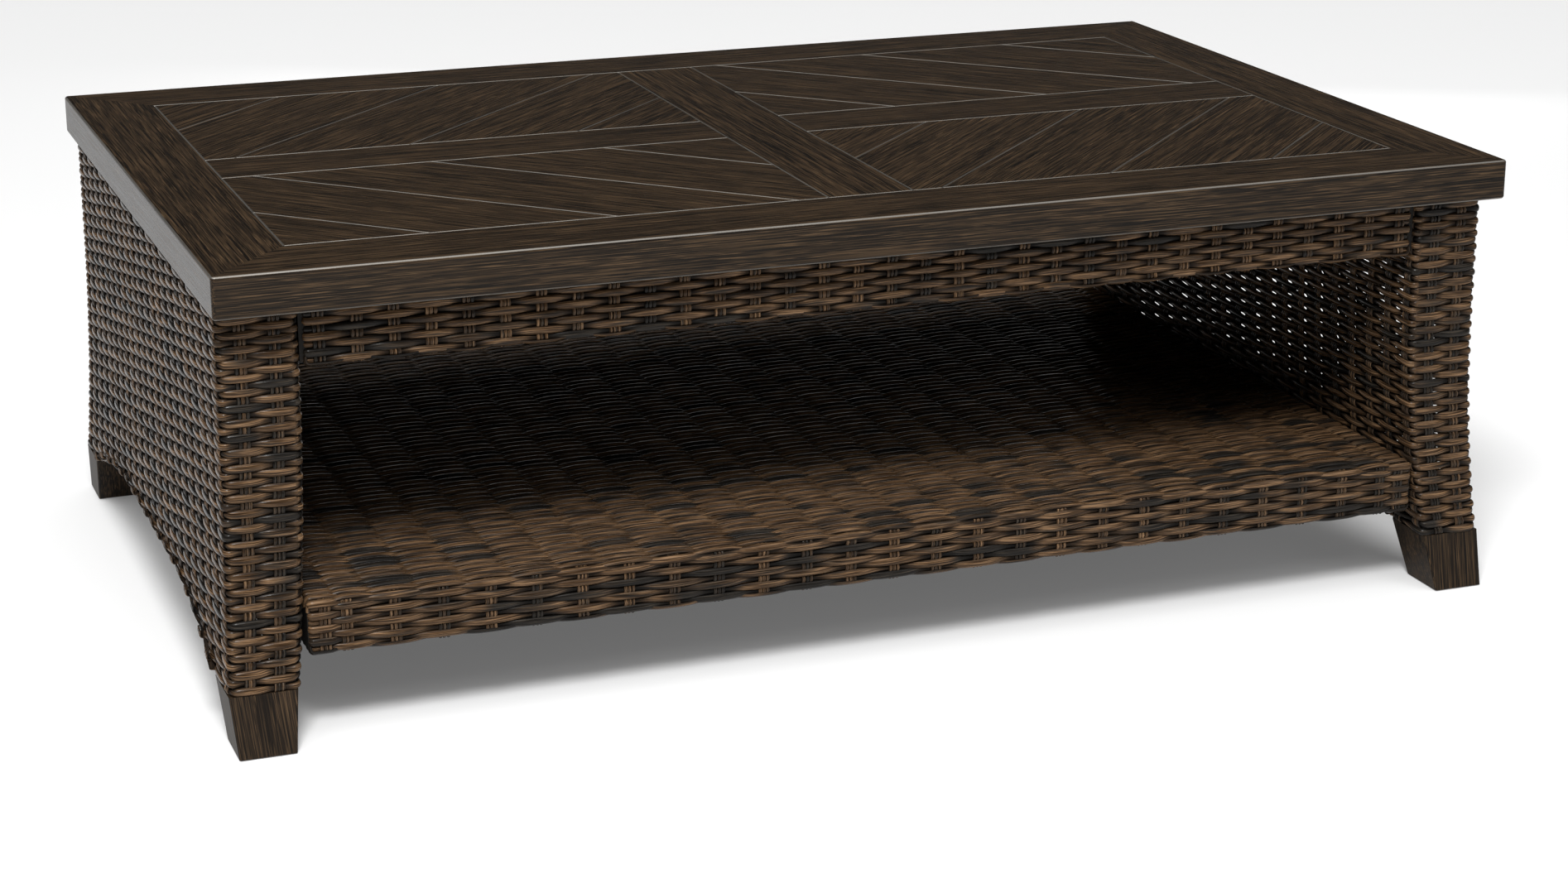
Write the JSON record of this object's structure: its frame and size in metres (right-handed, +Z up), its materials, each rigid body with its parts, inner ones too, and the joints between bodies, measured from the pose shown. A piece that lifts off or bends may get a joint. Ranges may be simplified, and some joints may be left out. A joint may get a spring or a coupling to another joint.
{
  "type": "wicker coffee table",
  "caption": "Rectangular outdoor coffee table: dark wood-grain metal slat top over a wicker-wrapped base with an open lower shelf and splayed tapered feet.",
  "frame": {"origin": "on the floor, under the middle of the table", "axes": "+X along the table's length to the right, -Y to the front, +Z up"},
  "size_m": [1.277, 0.8214, 0.44],
  "materials": {
    "wood_grain_metal": "satin powder coat with a brushed dark wood grain",
    "wicker": "half-round resin strands, brown mixed with charcoal, soft gloss, fine lengthwise grain",
    "frame_metal": "dark brown powder coat",
    "bolt_steel": "bright zinc",
    "glide_plastic": "moulded black plastic"
  },
  "bodies": {
    "root": {"apron_bolts": "bolt_steel", "apron_rail_back": "frame_metal", "apron_rail_front": "frame_metal", "apron_weave_back": "wicker", "apron_weave_front": "wicker", "batten_back_left": "frame_metal", "batten_back_right": "frame_metal", "batten_front_left": "frame_metal", "batten_front_right": "frame_metal", "foot_back_left": "wood_grain_metal", "foot_back_right": "wood_grain_metal", "foot_bolts": "bolt_steel", "foot_front_left": "wood_grain_metal", "foot_front_right": "wood_grain_metal", "foot_glides": "glide_plastic", "left_end_frame": "frame_metal", "left_weave_back": "wicker", "left_weave_bottom": "wicker", "left_weave_front": "wicker", "left_weave_inner": "wicker", "left_weave_outer": "wicker", "right_end_frame": "frame_metal", "right_weave_back": "wicker", "right_weave_bottom": "wicker", "right_weave_front": "wicker", "right_weave_inner": "wicker", "right_weave_outer": "wicker", "shelf_bolts": "bolt_steel", "shelf_frame": "frame_metal", "shelf_weave_back": "wicker", "shelf_weave_front": "wicker", "shelf_weave_top": "wicker", "slat_back_left_1": "wood_grain_metal", "slat_back_left_2": "wood_grain_metal", "slat_back_left_3": "wood_grain_metal", "slat_back_left_4": "wood_grain_metal", "slat_back_left_5": "wood_grain_metal", "slat_back_right_1": "wood_grain_metal", "slat_back_right_2": "wood_grain_metal", "slat_back_right_3": "wood_grain_metal", "slat_back_right_4": "wood_grain_metal", "slat_back_right_5": "wood_grain_metal", "slat_front_left_1": "wood_grain_metal", "slat_front_left_2": "wood_grain_metal", "slat_front_left_3": "wood_grain_metal", "slat_front_left_4": "wood_grain_metal", "slat_front_left_5": "wood_grain_metal", "slat_front_right_1": "wood_grain_metal", "slat_front_right_2": "wood_grain_metal", "slat_front_right_3": "wood_grain_metal", "slat_front_right_4": "wood_grain_metal", "slat_front_right_5": "wood_grain_metal", "top_bolts": "bolt_steel", "top_cross_rail": "wood_grain_metal", "top_mid_rail_left": "wood_grain_metal", "top_mid_rail_right": "wood_grain_metal", "top_rail_back": "wood_grain_metal", "top_rail_front": "wood_grain_metal", "top_rail_left": "wood_grain_metal", "top_rail_right": "wood_grain_metal"}
  },
  "joints": []
}
